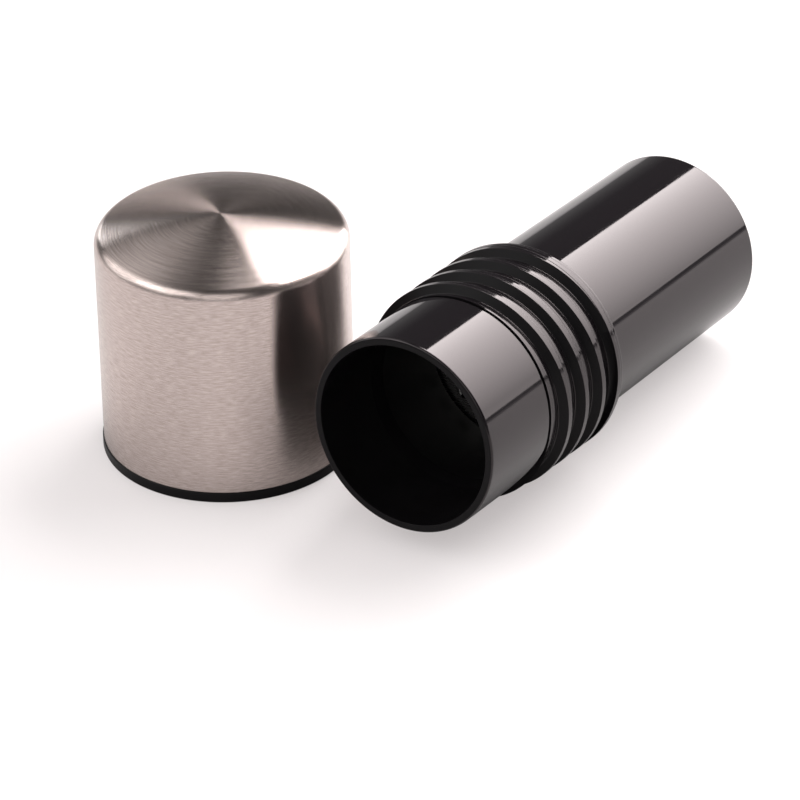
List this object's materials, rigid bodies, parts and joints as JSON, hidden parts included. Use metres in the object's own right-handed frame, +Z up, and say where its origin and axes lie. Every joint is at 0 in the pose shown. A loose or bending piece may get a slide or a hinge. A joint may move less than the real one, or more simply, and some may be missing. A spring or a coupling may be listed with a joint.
{
  "type": "spice mill",
  "caption": "Twist spice mill for whole spices: threaded barrel with a grating blade inside, and a brushed steel screw cap with a sprung pusher, opened for filling.",
  "frame": {"origin": "on the table, under the middle of the box round both halves", "axes": "+Z up; +Y along the mill body from its open mouth to its rear end; +X from the cap to the mill body"},
  "size_m": [0.1132, 0.1272, 0.0578],
  "materials": {
    "black_gloss": "moulded black plastic with a high polish",
    "black_liner": "moulded black plastic, satin",
    "cap_steel": "brushed round the side, spun on the top",
    "blade_steel": "thin photo-etched stainless steel",
    "screw_steel": "plain stainless screws",
    "spring_steel": "bright spring wire",
    "seal_rubber": "soft black food-grade rubber",
    "glide_nylon": "natural white nylon"
  },
  "bodies": {
    "head": {"thread_collar": "black_gloss", "snap_ring": "spring_steel", "glide_washer": "glide_nylon"},
    "chamber": {"spice_chamber": "black_gloss", "chamber_seal": "seal_rubber", "joint_gasket": "seal_rubber"},
    "barrel": {"barrel": "black_gloss", "blade_carrier": "black_liner", "blade_disc": "blade_steel", "blade_screw": "screw_steel", "carrier_screws": "screw_steel"},
    "plug": {"base_plug": "black_gloss", "plug_seal": "seal_rubber"},
    "cap": {"cap_shell": "cap_steel", "cap_liner": "black_liner", "cap_gasket": "seal_rubber", "plunger_guide": "black_liner", "guide_screws": "screw_steel", "plunger_spring": "spring_steel"},
    "pusher": {"plunger_stem": "black_liner", "pusher_disc": "black_liner", "spike_plate": "blade_steel", "pusher_screw": "screw_steel", "spring_washer": "screw_steel"}
  },
  "joints": [
    {"name": "chamber_pull", "type": "slide", "parent": "head", "child": "chamber", "axis": [0, -0.9981, 0.0615], "range_m": [0, 0.06]},
    {"name": "barrel_turn", "type": "hinge", "parent": "head", "child": "barrel", "pos_m": [0.03143, -0.05295, 0.02818], "axis": [0, 0.9981, -0.0615], "continuous": true},
    {"name": "plug_pull", "type": "slide", "parent": "barrel", "child": "plug", "axis": [0, 0.9981, -0.0615], "range_m": [0, 0.04]},
    {"name": "cap_lift", "type": "slide", "parent": "head", "child": "cap", "axis": [0, 0, 1], "range_m": [0, 0.12]},
    {"name": "pusher_press", "type": "slide", "parent": "cap", "child": "pusher", "axis": [0, 0, 1], "range_m": [0, 0.009], "stiffness_N_per_m": 800, "springref_m": -0.002, "deforming": ["plunger_spring"]}
  ]
}
